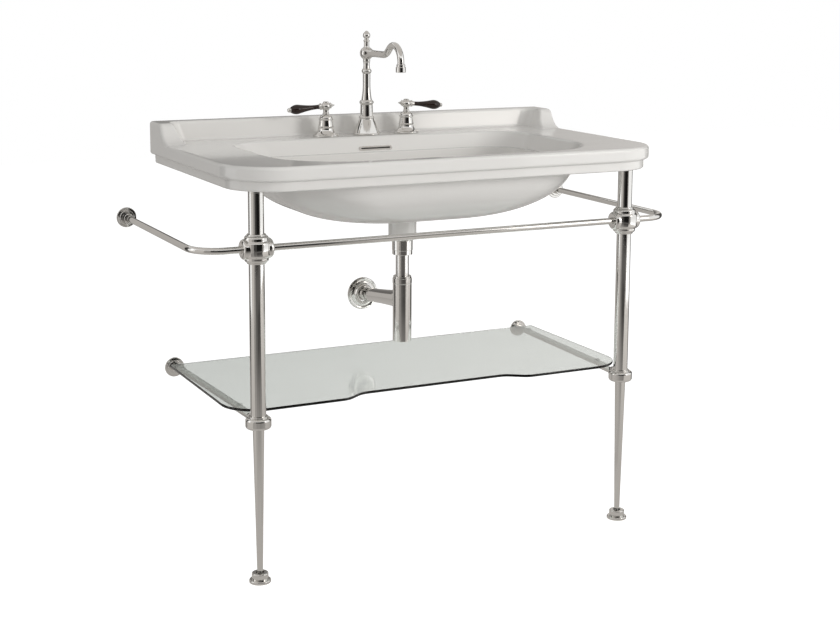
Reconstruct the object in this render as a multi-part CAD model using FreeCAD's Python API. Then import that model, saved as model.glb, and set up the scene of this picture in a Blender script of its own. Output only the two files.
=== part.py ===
import FreeCAD, Part
import math
import os

Vector = FreeCAD.Vector

# Console washbasin on two front legs, hung on the wall behind it.
# Millimetres, +Z up, +X to the right, +Y towards the wall, floor at Z = 0.
# Every depth below is a distance out from the wall, and at() turns it into Y.

# Clearances
slip = 0.3              # pieces of one assembly that sit beside each other
seat = 0.1              # a tube in its socket, all round
running = 0.05          # a shaft that turns or slides in its bore, radial

# Basin: rim, deck and skirt
basin_width = 1000.0
basin_depth = 572.0
deck_z = 864.0
upper_band = 29.5
lower_band = 21.0
lower_band_inset = 11.0
front_corner_r = 115.0
rim_top_r = 7.0
rim_step_r = 6.0
rim_foot_r = 4.0
deck_thickness = 16.0
skirt_thickness = 18.0

# Basin: upstand along the wall and its two end returns
upstand_height = 44.0
upstand_base = 32.0
upstand_top = 24.0
upstand_foot_r = 7.0
upstand_corner_r = 28.0
return_base = 48.0
return_top = 32.0
return_length = 72.0
scoop_run = 26.0
scoop_top_r = 16.0
scoop_foot_r = 50.0
scoop_sink = 0.4        # the sweep meets the deck at a slight angle

# Basin: bowl
bowl_half_width = 366.0
bowl_back = 104.0
front_ledge = 36.0
back_corner_share = 0.213       # corner radii and runs are shares of the bowl's depth
front_corner_share = 0.347
floor_back_corner_share = 0.1435
floor_front_corner_share = 0.185
run_back_share = 0.162
run_front_share = 0.370
bowl_lip_r = 9.0
ledge_drop = 35.0
ledge_slope = 18.0
ledge_width = 6.0
bowl_depth = 144.0
bowl_run_side = 230.0
bowl_wall = 15.0
bowl_sections = 6

# Basin: drain, overflow, tap holes and wall bolts
drain_depth = 262.0
drain_bore_r = 23.5
drain_boss_r = 31.5
drain_boss_below_floor = 64.0
drain_seat_r = 33.5
drain_seat_drop = 3.0
overflow_width = 84.0
overflow_height = 10.5
overflow_rim = 3.5
overflow_lip = 1.6
overflow_up = 8.0
overflow_tube = 16.0
duct_width = 92.0
duct_wall = 8.0
duct_gap = 10.0
duct_straight = 150.0
tap_hole_r = 16.0
tap_depth = 68.0
valve_x = 103.0
wall_bolt_spacing = 280.0
wall_bolt_r = 6.0
wall_bolt_below_deck = 33.0

# Legs
leg_setback = 74.0
leg_inset = 64.5
leg_tube_r = 16.0
leg_wall = 1.5
leg_pad_thickness = 2.5
leg_head_flange = 3.0
leg_head_plug = 20.0
taper_top_r = 11.8
taper_tip_r = 6.1
taper_tip_z = 25.0
taper_spigot_r = 6.0
taper_spigot = 16.0

# Rail fitting on each leg
rail_z = 695.0
rail_r = 7.0
rail_wall = 1.2
joint_r = 27.5
joint_body_half = 17.0
joint_ring_r = 23.8
joint_cap_r = 19.5
joint_cap = 4.0
joint_half_height = 30.0
joint_round = 4.0
joint_reach = 33.5
joint_boss_r = 22.5
joint_web = 12.0
rail_socket = 17.0

# Side rails
rail_corner_x = 559.0
rail_bend_r = 62.0

# Shelf collars, arms, pads and glass
collar_z = 340.0
collar_r = 26.5
collar_end_r = 20.0
collar_step = 3.0
collar_round = 6.0
collar_height = 26.0
collar_web = 5.0
collar_boss_r = 11.5
collar_boss_reach = 34.0
arm_socket = 16.0
shelf_arm_r = 7.0
shelf_arm_wall = 1.2
shelf_rose_x = 455.0
pad_r = 6.0
pad_height = 1.5
pad_sink = 3.5
pad_back = 62.0
pad_from_edge = 62.0
glass_thickness = 6.0
glass_width = 950.0
glass_back = 33.0
glass_leg_gap = 38.0    # its front edge stays this far behind the legs' centre line
glass_corner_r = 75.0
glass_back_r = 6.0
notch_half_width = 175.0
notch_depth = 30.0
notch_run = 42.0
notch_r = 45.0

# Wall roses of the rails and arms
rose_r = 22.5
rose_plate = 5.0
rose_ring_r = 16.5
rose_ring = 4.0
rose_neck_r = 11.0
rose_length = 24.0
rose_round = 1.5
rose_floor = 3.0

# Feet
foot_r = 22.5
foot_height = 22.0
foot_base = 8.0
foot_waist = 2.0
foot_waist_r = 16.0
foot_round = 2.4
foot_tier_r = 17.2
foot_recess_r = 8.5
foot_recess = 12.0
foot_travel = 10.0
stud_r = 3.75
stud_bottom_z = 3.0
stud_top_z = 70.0

# Tap set, heights above the deck
tap_base_r = 29.5
valve_shoulder_z = 41.5
valve_top_z = 51.0
valve_neck_r = 7.5
spindle_r = 5.0
spindle_depth = 18.0
hub_r = 10.5
hub_z = 70.0
hub_stem_r = 6.3
hub_top_z = 80.0
lever_droop = 4.5
lever_socket = 19.0
lever_insert = 68.0
lever_insert_r = 10.7
lever_neck_r = 4.8
lever_cap_length = 8.0
lever_tail = 22.0
tang_r = 2.0
tang_length = 10.0
spout_base_r = 31.5
spout_column_z = 174.0
spout_neck_r = 8.3
spout_ball_r = 15.5
spout_ball_z = 190.0
spout_spigot_r = 6.0
spout_spigot = 20.0
spout_reach = 183.0
spout_r = 7.6
spout_flare_r = 11.5
spout_flare = 40.0
spout_trough_r = 40.0
spout_crest_r = 36.0
spout_rise_angle = 40.0
spout_crest_z = 213.0
aerator_r = 11.2
aerator_height = 18.0
aerator_bottom_z = 155.0
aerator_mouth = 3.0
spout_in_aerator = 6.0
finial_bottom_z = 216.0
finial_pin_r = 3.0
finial_pin = 8.0
tail_thread_r = 14.0
tail_top = 12.0
tail_thread_below = 30.0
tail_r = 10.48
tail_length = 60.0
washer_r = 21.0
washer_thickness = 2.5
nut_flats = 36.0
nut_height = 8.0

# Waste and plug
flange_r = 33.0
flange_thickness = 2.6
waste_r = 21.0
waste_bore_r = 18.0
waste_below_floor = 94.0
bridge_below_floor = 48.0
bridge_height = 6.0
bridge_rib = 4.0
bridge_hub_r = 8.0
waste_slot_width = 14.0
waste_slot_height = 10.0
plug_r = 29.0
plug_thickness = 4.0
plug_crown = 5.0
plug_stem_r = 4.0
plug_travel = 9.0
seal_r = 29.0
seal_thickness = 3.0
backnut_r = 27.5
backnut_height = 7.0

# Bottle trap
trap_nut_r = 23.5
trap_nut_grip = 19.0    # how far the nut reaches up round the waste
trap_nut_height = 33.0
trap_nut_ring = 10.0
trap_tube_r = 15.0
trap_tube_wall = 1.2
trap_tube_in_waste = 16.0
trap_tube_bottom_z = 446.0
trap_cap_top_z = 563.0
trap_cap_height = 17.0
bottle_r = 21.5
bottle_wall = 1.5
bottle_bottom_z = 412.0
outlet_z = 508.0
outlet_drop = 38.0
outlet_shift = 20.0
outlet_r = 16.0
outlet_waist_r = 16.5
outlet_wall = 1.5
outlet_flare_r = 20.0
outlet_flare_from = 24.0
outlet_flare_to = 150.0
outlet_hole_r = 17.5
outlet_past_wall = 40.0
trap_rose_r = 39.0
trap_rose_depth = 16.0
trap_rose_sheet = 1.8

# Places that follow from the sizes above
wall_y = (basin_depth - outlet_past_wall) / 2
half_width = basin_width / 2
leg_x = half_width - leg_inset
leg_depth = basin_depth - leg_setback
rim_step_z = deck_z - upper_band
rim_bottom_z = rim_step_z - lower_band
deck_under_z = deck_z - deck_thickness
upstand_z = deck_z + upstand_height
bowl_floor_z = deck_z - bowl_depth
bowl_front = basin_depth - front_ledge
bowl_span = bowl_front - bowl_back
bowl_back_corner_r = bowl_span * back_corner_share
bowl_front_corner_r = bowl_span * front_corner_share
bowl_floor_back_r = bowl_span * floor_back_corner_share
bowl_floor_front_r = bowl_span * floor_front_corner_share
bowl_run_back = bowl_span * run_back_share
bowl_run_front = bowl_span * run_front_share
drain_boss_bottom_z = bowl_floor_z - drain_boss_below_floor
waste_bottom_z = bowl_floor_z - waste_below_floor
bridge_z = bowl_floor_z - bridge_below_floor
trap_nut_top_z = waste_bottom_z + trap_nut_grip
trap_nut_bottom_z = trap_nut_top_z - trap_nut_height
trap_tube_top_z = waste_bottom_z + trap_tube_in_waste
collar_bottom_z = collar_z - collar_height / 2
glass_bottom_z = collar_z + shelf_arm_r + pad_height
glass_front = leg_depth - glass_leg_gap
pad_front = glass_front - pad_from_edge
up = Vector(0, 0, 1)
out_of_wall = Vector(0, -1, 0)


# ---- helpers

def at(x, depth, z):
    """Point at a distance out from the wall."""
    return Vector(x, wall_y - depth, z)


def unit(vector):
    return Vector(vector).normalize()


def polyline_with_bends(points, radii, closed):
    """Straight edges through the points, each corner rounded by its radius."""
    count = len(points)
    entries = []
    for i, point in enumerate(points):
        radius = radii[i]
        if radius == 0:
            entries.append((point, None, point))
            continue
        back = unit(points[i - 1] - point)
        ahead = unit(points[(i + 1) % count] - point)
        half = back.getAngle(ahead) / 2
        reach = radius / math.tan(half)
        middle = point + unit(back + ahead) * (radius / math.sin(half) - radius)
        entries.append((point + back * reach, middle, point + ahead * reach))
    edges = []
    for i, (first, middle, last) in enumerate(entries):
        if i > 0 and (first - entries[i - 1][2]).Length > 1e-6:
            edges.append(Part.makeLine(entries[i - 1][2], first))
        if middle is not None:
            edges.append(Part.Arc(first, middle, last).toShape())
    if closed and (entries[0][0] - entries[-1][2]).Length > 1e-6:
        edges.append(Part.makeLine(entries[-1][2], entries[0][0]))
    return Part.Wire(edges)


def plan_wire(corners, z):
    """Closed outline in plan from (x, depth, corner radius)."""
    points = [at(x, depth, z) for x, depth, radius in corners]
    return polyline_with_bends(points, [radius for x, depth, radius in corners], True)


def plan_prism(corners, bottom_z, top_z):
    return Part.Face(plan_wire(corners, bottom_z)).extrude(up * (top_z - bottom_z))


def side_prism(corners, low_x, high_x):
    """Outline in a vertical plane square to the wall, from (depth, z, radius)."""
    points = [at(low_x, depth, z) for depth, z, radius in corners]
    wire = polyline_with_bends(points, [radius for depth, z, radius in corners], True)
    return Part.Face(wire).extrude(Vector(high_x - low_x, 0, 0))


def mirrored_corners(corners):
    """The given right-hand corners and their mirror images, as one closed outline."""
    return corners + [(-x, depth, radius) for x, depth, radius in reversed(corners)]


def turned(profile, base, axis=up):
    """Solid of revolution from (radius, height) or (mid radius, mid height, radius, height)."""
    start = Vector(profile[0][0], 0, profile[0][1])
    here = start
    edges = []
    for step in profile[1:]:
        there = Vector(step[-2], 0, step[-1])
        if len(step) == 4:
            edges.append(Part.Arc(here, Vector(step[0], 0, step[1]), there).toShape())
        elif not here.isEqual(there, 1e-6):
            edges.append(Part.makeLine(here, there))
        here = there
    edges.append(Part.makeLine(here, start))
    solid = Part.Face(Part.Wire(edges)).revolve(Vector(0, 0, 0), up, 360)
    solid.Placement = FreeCAD.Placement(base, FreeCAD.Rotation(up, axis))
    return solid


def rod(start, end, radius):
    return Part.makeCylinder(radius, (end - start).Length, start, end - start)


def pipe(start, end, outer_r, wall):
    return rod(start, end, outer_r).cut(rod(start, end, outer_r - wall))


def swept(wire, radius):
    """Round bar along a wire of straight runs and tangent arcs."""
    first = wire.OrderedEdges[0]
    start = first.valueAt(first.FirstParameter)
    direction = first.tangentAt(first.FirstParameter)
    ring = Part.Wire(Part.makeCircle(radius, start, direction))
    return wire.makePipeShell([ring], True, False)


def box_between(low, high):
    size = high - low
    return Part.makeBox(size.x, size.y, size.z, low)


def edges_where(shape, test):
    """Edges whose ends and middle all pass a test on (x, depth, z)."""
    chosen = []
    for edge in shape.Edges:
        span = edge.LastParameter - edge.FirstParameter
        spots = [edge.valueAt(edge.FirstParameter + span * part) for part in (0, 0.5, 1)]
        if all(test(spot.x, wall_y - spot.y, spot.z) for spot in spots):
            chosen.append(edge)
    return chosen


def near(a, b):
    return abs(a - b) < 1e-3


# ---- basin

def rim_outline(inset):
    side = half_width - inset
    front = basin_depth - inset
    return mirrored_corners([(side, 0, 0), (side, front, front_corner_r - inset)])


def rim():
    """Deck slab with its stepped edge, before the bowl is cut."""
    upper = plan_prism(rim_outline(0), rim_step_z, deck_z)
    below = edges_where(upper, lambda x, depth, z: near(z, rim_step_z))
    below = [edge for edge in below if edge.BoundBox.YMin < wall_y - 1]
    upper = upper.makeFillet(rim_step_r, below)
    lower = plan_prism(rim_outline(lower_band_inset), rim_bottom_z, rim_step_z + rim_step_r)
    foot = edges_where(lower, lambda x, depth, z: near(z, rim_bottom_z))
    foot = [edge for edge in foot if edge.BoundBox.YMin < wall_y - 1]
    lower = lower.makeFillet(rim_foot_r, foot)
    return upper.fuse(lower)


def upstand():
    """Low back wall that sweeps down into the deck at both ends."""
    root_z = deck_z - rim_top_r - 1
    scoop_end = return_length + scoop_run
    run_out = scoop_end + scoop_foot_r
    scoop = side_prism([
        (0, root_z, 0), (0, upstand_z, 0), (return_length, upstand_z, scoop_top_r),
        (scoop_end, deck_z - scoop_sink, scoop_foot_r), (run_out, deck_z - scoop_sink, 0),
        (run_out, root_z, 0),
    ], -half_width, half_width)
    top_z = upstand_z + 5
    climb = (top_z - deck_z) / upstand_height
    base_x = half_width - return_base
    top_x = base_x + (return_base - return_top) * climb
    top_depth = upstand_base - (upstand_base - upstand_top) * climb
    far = basin_depth
    foot = plan_wire(mirrored_corners([
        (base_x, upstand_base, upstand_corner_r), (base_x, far, 0)]), deck_z)
    head = plan_wire(mirrored_corners([
        (top_x, top_depth, upstand_corner_r), (top_x, far, 0)]), top_z)
    hollow = Part.makeLoft([foot, head], True, True)
    floor_edges = edges_where(hollow, lambda x, depth, z: near(z, deck_z))
    floor_edges = [edge for edge in floor_edges if edge.BoundBox.YMax > wall_y - far + 1]
    hollow = hollow.makeFillet(upstand_foot_r, floor_edges)
    return scoop.cut(hollow)


def bowl_outline(insets, back_r, front_r, z):
    """Plan of the bowl, moved in from its mouth at the sides, back and front."""
    side = bowl_half_width - insets[0]
    back = bowl_back + insets[1]
    front = bowl_front - insets[2]
    return plan_wire(mirrored_corners([(side, back, back_r), (side, front, front_r)]), z)


def bowl_shape(wall, top_z):
    """Inside of the lower bowl, or its outside when a wall is added."""
    start = ledge_slope + ledge_width - wall
    start_z = deck_z - ledge_drop
    floor_z = bowl_floor_z - wall
    sections = [bowl_outline([start] * 3, bowl_back_corner_r + wall,
                             bowl_front_corner_r + wall, top_z)]
    for step in range(bowl_sections + 1):
        angle = math.radians(90) * step / bowl_sections
        run = 1 - math.cos(angle)
        back_r = bowl_back_corner_r + (bowl_floor_back_r - bowl_back_corner_r) * run + wall
        front_r = bowl_front_corner_r + (bowl_floor_front_r - bowl_front_corner_r) * run + wall
        insets = [start + out * run for out in (bowl_run_side, bowl_run_back, bowl_run_front)]
        z = start_z - (start_z - floor_z) * math.sin(angle)
        sections.append(bowl_outline(insets, back_r, front_r, z))
    straight = Part.makeLoft(sections[:2], True, True)
    curved = Part.makeLoft(sections[1:], True, False)
    return straight.fuse(curved)


def bowl_mouth():
    """The short upper slope of the bowl, from the deck down to the ledge."""
    over = 6.0
    wires = []
    for inset, z in ((-over * ledge_slope / ledge_drop, deck_z + over),
                     (ledge_slope, deck_z - ledge_drop)):
        wires.append(bowl_outline([inset] * 3, bowl_back_corner_r, bowl_front_corner_r, z))
    return Part.makeLoft(wires, True, True)


def tap_places():
    return [-valve_x, 0, valve_x]


def under_deck_pocket():
    """Open space under the deck behind and beside the bowl, where the tap nuts are reached."""
    side = half_width - lower_band_inset - skirt_thickness
    inner = bowl_half_width + bowl_wall
    back = bowl_back - 6
    front = leg_depth - 80
    corners = mirrored_corners([
        (inner, back, 12), (inner, front, 0), (side, front, 20), (side, skirt_thickness, 20)])
    return plan_prism(corners, rim_bottom_z - 1, deck_under_z)


def duct_profile(grow):
    """Side view of the overflow duct, down the back of the bowl to the drain boss."""
    start_z = deck_z - ledge_drop
    back = bowl_back - 10
    knee_z = bowl_floor_z + 24
    heel = bowl_back + 34
    low_z = bowl_floor_z - bowl_wall - 16
    return [
        (back + duct_wall - grow, start_z + 6, 0),
        (back + duct_wall + duct_gap + grow, start_z + 6, 0),
        (back + duct_wall + duct_gap + grow, knee_z + 8, 14),
        (heel + duct_gap, low_z + duct_gap + grow, 14),
        (drain_depth, low_z + duct_gap + grow, 0),
        (drain_depth, low_z - grow, 0),
        (heel, low_z - grow, 20),
        (back + duct_wall - grow, knee_z, 24),
    ]


def duct(grow):
    """Overflow duct that narrows in plan until it runs inside the drain boss."""
    side = duct_width / 2 - duct_wall + grow
    end = drain_boss_r - 2 * duct_wall + grow
    plan = plan_prism(mirrored_corners([
        (side, bowl_back - duct_wall, 0), (side, duct_straight, 0), (end, drain_depth, 0)]),
        drain_boss_bottom_z, deck_z)
    return side_prism(duct_profile(grow), -duct_width, duct_width).common(plan)


def overflow_frame():
    """Middle of the overflow on the sloping back wall, and the wall's outward direction."""
    slope = ledge_slope / ledge_drop
    z = deck_z - ledge_drop + overflow_up
    depth = bowl_back + (deck_z - z) * slope
    return at(0, depth, z), unit(Vector(0, -1, slope))


def slot_prism(width, height, start, end):
    """Slot with round ends, square to the sloping back wall, between two distances from it."""
    place, outward = overflow_frame()
    r = height / 2
    half = width / 2 - r
    points = [Vector(-half, -r, 0), Vector(half, -r, 0), Vector(half, r, 0), Vector(-half, r, 0)]
    ends = [Part.Arc(points[1], Vector(half + r, 0, 0), points[2]).toShape(),
            Part.Arc(points[3], Vector(-half - r, 0, 0), points[0]).toShape()]
    wire = Part.Wire([Part.makeLine(points[0], points[1]), ends[0],
                      Part.makeLine(points[2], points[3]), ends[1]])
    solid = Part.Face(wire).extrude(up * (end - start))
    turn = FreeCAD.Rotation(Vector(1, 0, 0), Vector(0, outward.z, -outward.y), outward, "ZXY")
    solid.Placement = FreeCAD.Placement(place + outward * start, turn)
    return solid


def overflow_tube_size():
    return overflow_width - 2 * overflow_rim, overflow_height - overflow_rim


def basin():
    body = rim().fuse(upstand()).removeSplitter()
    outer_top = edges_where(body, lambda x, depth, z: z > deck_z - 1e-3 and depth > -1 and (
        near(abs(x), half_width) or near(depth, basin_depth)
        or math.hypot(abs(x) - half_width + front_corner_r,
                      depth - basin_depth + front_corner_r) > front_corner_r - 1e-3))
    outer_top = [edge for edge in outer_top if edge.BoundBox.YMin < wall_y - 1]
    body = body.makeFillet(rim_top_r, outer_top)
    body = body.cut(under_deck_pocket())
    hull = bowl_shape(bowl_wall, rim_step_z + 4)
    boss = rod(at(0, drain_depth, drain_boss_bottom_z),
               at(0, drain_depth, bowl_floor_z - 2), drain_boss_r)
    body = body.fuse([hull, boss, duct(duct_wall)])
    body = body.cut(bowl_mouth().fuse(bowl_shape(0, deck_z - ledge_drop + 3)))
    body = body.cut(duct(0))
    lip = edges_where(body, lambda x, depth, z: near(z, deck_z)
                      and abs(x) < bowl_half_width + 1 and bowl_back - 1 < depth < bowl_front + 1)
    body = body.makeFillet(bowl_lip_r, lip)
    tube_width, tube_height = overflow_tube_size()
    cuts = [
        rod(at(0, drain_depth, drain_boss_bottom_z - 1), at(0, drain_depth, deck_z), drain_bore_r),
        rod(at(0, drain_depth, bowl_floor_z - drain_seat_drop), at(0, drain_depth, deck_z),
            drain_seat_r),
        slot_prism(tube_width + 2 * slip, tube_height + 2 * slip, -overflow_tube - slip, 20),
    ]
    for x in tap_places():
        cuts.append(rod(at(x, tap_depth, rim_bottom_z), at(x, tap_depth, deck_z + 1), tap_hole_r))
    for side in (-1, 1):
        x = side * wall_bolt_spacing / 2
        z = deck_z - wall_bolt_below_deck
        cuts.append(rod(at(x, -1, z), at(x, skirt_thickness + 1, z), wall_bolt_r))
    return body.cut(cuts)


def overflow_trim():
    tube_width, tube_height = overflow_tube_size()
    bore_width = tube_width - 2 * overflow_lip
    bore_height = tube_height - 2 * overflow_lip
    flange = slot_prism(overflow_width, overflow_height, 0, overflow_lip)
    tube = slot_prism(tube_width, tube_height, -overflow_tube, overflow_lip)
    return flange.fuse(tube).cut(slot_prism(bore_width, bore_height, -overflow_tube - 1, 5))


# ---- legs and rails

def tiers(steps, rounding):
    """Profile of stacked discs (radius, low, high), with the free corners rounded."""
    profile = [(0, steps[0][1])]
    for i, (radius, low, high) in enumerate(steps):
        r = min(rounding, (high - low) / 2.5)
        cut = r * (1 - math.sqrt(0.5))
        if i == 0 or steps[i - 1][0] < radius:
            profile += [(radius - r, low), (radius - cut, low + cut, radius, low + r)]
        else:
            profile.append((radius, low))
        if i == len(steps) - 1 or steps[i + 1][0] < radius:
            profile += [(radius, high - r), (radius - cut, high - cut, radius - r, high)]
        else:
            profile.append((radius, high))
    return profile + [(0, steps[-1][2])]


def leg_axis(side, z):
    return at(side * leg_x, leg_depth, z)


def upper_leg_tube(side):
    top_z = rim_bottom_z - leg_pad_thickness - leg_head_flange
    return pipe(leg_axis(side, rail_z + joint_web / 2), leg_axis(side, top_z), leg_tube_r, leg_wall)


def middle_leg_tube(side):
    return pipe(leg_axis(side, collar_z + collar_web / 2), leg_axis(side, rail_z - joint_web / 2),
                leg_tube_r, leg_wall)


def leg_head(side):
    """Plug that closes the top of a leg and carries the rubber pad under the basin."""
    flange_top = rim_bottom_z - leg_pad_thickness
    tube_top = flange_top - leg_head_flange
    plug_r = leg_tube_r - leg_wall - seat
    plug = [(plug_r, -leg_head_plug, 0), (leg_tube_r, 0, leg_head_flange)]
    return turned(tiers(plug, 0.6), leg_axis(side, tube_top))


def leg_pads():
    low = rim_bottom_z - leg_pad_thickness
    return Part.makeCompound([rod(leg_axis(side, low), leg_axis(side, rim_bottom_z), leg_tube_r - 1)
                              for side in (-1, 1)])


def rail_joint(side):
    """Cross fitting that joins two leg tubes with the front rail and a side rail."""
    centre = leg_axis(side, rail_z)
    half = joint_half_height
    body = turned(tiers([
        (joint_cap_r, -half, -half + joint_cap),
        (joint_ring_r, -half + joint_cap, -joint_body_half),
        (joint_r, -joint_body_half, joint_body_half),
        (joint_ring_r, joint_body_half, half - joint_cap),
        (joint_cap_r, half - joint_cap, half)], joint_round), centre)
    for direction in (Vector(1, 0, 0), Vector(-1, 0, 0)):
        body = body.fuse(turned(tiers([(joint_boss_r, 0, joint_reach)], joint_round),
                                centre, direction))
    for direction in (up, -up):
        body = body.cut(rod(centre + direction * (joint_web / 2), centre + direction * (half + 1),
                            leg_tube_r + seat))
    for direction in (Vector(1, 0, 0), Vector(-1, 0, 0)):
        body = body.cut(rod(centre + direction * (joint_reach - rail_socket),
                            centre + direction * (joint_reach + 1), rail_r + seat))
    return body


def rail_start():
    """Distance from a leg's axis to the end of a rail inside the fitting."""
    return joint_reach - rail_socket


def towel_rail_front():
    reach = leg_x - rail_start()
    return pipe(at(-reach, leg_depth, rail_z), at(reach, leg_depth, rail_z), rail_r, rail_wall)


def towel_rail(side):
    """Side rail: out from the leg, round one bend and back to the wall."""
    points = [at(side * (leg_x + rail_start()), leg_depth, rail_z),
              at(side * rail_corner_x, leg_depth, rail_z),
              at(side * rail_corner_x, rose_floor, rail_z)]
    path = polyline_with_bends(points, [0, rail_bend_r, 0], False)
    return swept(path, rail_r).cut(swept(path, rail_r - rail_wall))


def wall_rose(place, tube_r, tube_direction):
    """Stepped rose against the wall with a blind socket for a tube."""
    body = turned(tiers([
        (rose_r, 0, rose_plate),
        (rose_ring_r, rose_plate, rose_plate + rose_ring),
        (rose_neck_r, rose_plate + rose_ring, rose_length)], rose_round), place, out_of_wall)
    return body.cut(rod(place + tube_direction * rose_floor,
                        place + tube_direction * (rose_length + 5), tube_r + seat))


def rail_rose(side):
    return wall_rose(at(side * rail_corner_x, 0, rail_z), rail_r, out_of_wall)


# ---- shelf

def arm_direction(side):
    """From the wall rose towards the leg."""
    return unit(leg_axis(side, collar_z) - at(side * shelf_rose_x, 0, collar_z))


def shelf_rose(side):
    return wall_rose(at(side * shelf_rose_x, 0, collar_z), shelf_arm_r, arm_direction(side))


def arm_ends(side):
    start = at(side * shelf_rose_x, 0, collar_z) + arm_direction(side) * rose_floor
    end = leg_axis(side, collar_z) - arm_direction(side) * (collar_boss_reach - arm_socket)
    return start, end


def shelf_arm(side):
    start, end = arm_ends(side)
    return pipe(start, end, shelf_arm_r, shelf_arm_wall)


def shelf_collar(side):
    """Collar between the tube and the tapered leg, with a socket for the shelf arm."""
    centre = leg_axis(side, collar_z)
    half = collar_height / 2
    back = -arm_direction(side)
    body = turned(tiers([
        (collar_r, -half, half - collar_step),
        (collar_end_r, half - collar_step, half)], collar_round), centre)
    body = body.fuse(rod(centre, centre + back * collar_boss_reach, collar_boss_r))
    return body.cut([
        rod(centre + up * (collar_web / 2), centre + up * (half + 1), leg_tube_r + seat),
        rod(centre - up * (half + 1), centre - up * (collar_web / 2), taper_top_r + seat),
        rod(centre - up * half, centre + up * half, taper_spigot_r + seat),
        rod(centre + back * (collar_boss_reach - arm_socket), centre + back * (collar_boss_reach + 1),
            shelf_arm_r + seat),
    ])


def shelf_pads():
    """Clear pads that ride on the arms and carry the glass."""
    pads = []
    for side in (-1, 1):
        start, end = arm_ends(side)
        for depth in (pad_back, pad_front):
            x = side * (shelf_rose_x + (leg_x - shelf_rose_x) * depth / leg_depth)
            pad = rod(at(x, depth, glass_bottom_z - pad_height - pad_sink),
                      at(x, depth, glass_bottom_z), pad_r)
            pads.append(pad.cut(rod(start, end, shelf_arm_r)))
    return Part.makeCompound(pads)


def glass_shelf():
    """Clear shelf with rounded front corners and a shallow bay in its front edge."""
    side = glass_width / 2
    outline = mirrored_corners([
        (notch_half_width, glass_front - notch_depth, notch_r),
        (notch_half_width + notch_run, glass_front, notch_r),
        (side, glass_front, glass_corner_r), (side, glass_back, glass_back_r)])
    return plan_prism(outline, glass_bottom_z, glass_bottom_z + glass_thickness)


# ---- lower legs and feet

def lower_leg(side):
    """Tapered leg below the collar, bored for the stud of its foot."""
    top = collar_z - collar_web / 2
    edge = 1.5
    profile = [
        (0, taper_tip_z), (taper_tip_r - edge, taper_tip_z),
        (taper_tip_r - edge * 0.3, taper_tip_z + edge * 0.3, taper_tip_r, taper_tip_z + edge),
        (taper_top_r, collar_bottom_z), (taper_top_r, top),
        (taper_spigot_r, top), (taper_spigot_r, top + taper_spigot), (0, top + taper_spigot)]
    body = turned(profile, leg_axis(side, 0))
    return body.cut(rod(leg_axis(side, 0), leg_axis(side, stud_top_z + foot_travel + 5),
                        stud_r + running))


def foot_stud(side):
    return rod(leg_axis(side, stud_bottom_z), leg_axis(side, stud_top_z), stud_r)


def foot(side):
    """Turned foot whose cup lets the leg's tip sink in as the stud is screwed up."""
    waist = foot_base + foot_waist
    body = turned(tiers([
        (foot_r, 0, foot_base), (foot_waist_r, foot_base, waist),
        (foot_tier_r, waist, foot_height)], foot_round), leg_axis(side, 0))
    cup = rod(leg_axis(side, foot_height - foot_recess), leg_axis(side, foot_height + 1),
              foot_recess_r)
    hole = rod(leg_axis(side, stud_bottom_z), leg_axis(side, foot_height), stud_r + running)
    return body.cut([cup, hole])


# ---- tap set

def deck_point(x, height):
    return at(x, tap_depth, deck_z + height)


def tap_tail(x):
    """Threaded tail through the deck, reduced to a half-inch thread below."""
    step = -deck_thickness - tail_thread_below
    profile = [(0, step - tail_length), (tail_r, step - tail_length), (tail_r, step),
               (tail_thread_r, step), (tail_thread_r, tail_top), (0, tail_top)]
    return turned(profile, deck_point(x, 0))


def tail_bore(x):
    return rod(deck_point(x, -1), deck_point(x, tail_top), tail_thread_r + seat)


def tap_washers():
    rings = []
    for x in tap_places():
        top = deck_point(x, -deck_thickness)
        low = deck_point(x, -deck_thickness - washer_thickness)
        rings.append(rod(low, top, washer_r).cut(rod(low, top, tail_thread_r + seat)))
    return Part.makeCompound(rings)


def tap_backnuts():
    nuts = []
    corner_r = nut_flats / 2 / math.cos(math.radians(30))
    for x in tap_places():
        top = -deck_thickness - washer_thickness
        low = deck_point(x, top - nut_height)
        spots = [low + Vector(corner_r * math.cos(math.radians(60 * i)),
                              corner_r * math.sin(math.radians(60 * i)), 0) for i in range(6)]
        hexagon = Part.Face(Part.makePolygon(spots + [spots[0]])).extrude(up * nut_height)
        nuts.append(hexagon.cut(rod(low, deck_point(x, top), tail_thread_r + seat)))
    return Part.makeCompound(nuts)


def valve_body(x):
    """Bell-shaped cover of a valve, from its base ring to the neck under the lever."""
    profile = [
        (0, 0), (tap_base_r - 1, 0), (tap_base_r - 0.3, 0.3, tap_base_r, 1), (tap_base_r, 2.5),
        (tap_base_r - 0.8, 4.2, tap_base_r - 2.5, 5), (20.6, 10.5, 17.6, 21), (18.6, 22.2),
        (17.4, 23.8), (15.8, 33), (15.2, valve_shoulder_z - 4),
        (16.6, valve_shoulder_z - 2, 15.2, valve_shoulder_z),
        (12.6, valve_shoulder_z + 6, valve_neck_r, valve_top_z - 1),
        (valve_neck_r, valve_top_z), (0, valve_top_z)]
    body = turned(profile, deck_point(x, 0)).cut(tail_bore(x))
    return body.cut(rod(deck_point(x, valve_top_z - spindle_depth), deck_point(x, valve_top_z + 1),
                        spindle_r + running))


def lever_direction(side):
    droop = math.radians(lever_droop)
    return Vector(side * math.cos(droop), 0, -math.sin(droop))


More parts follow.
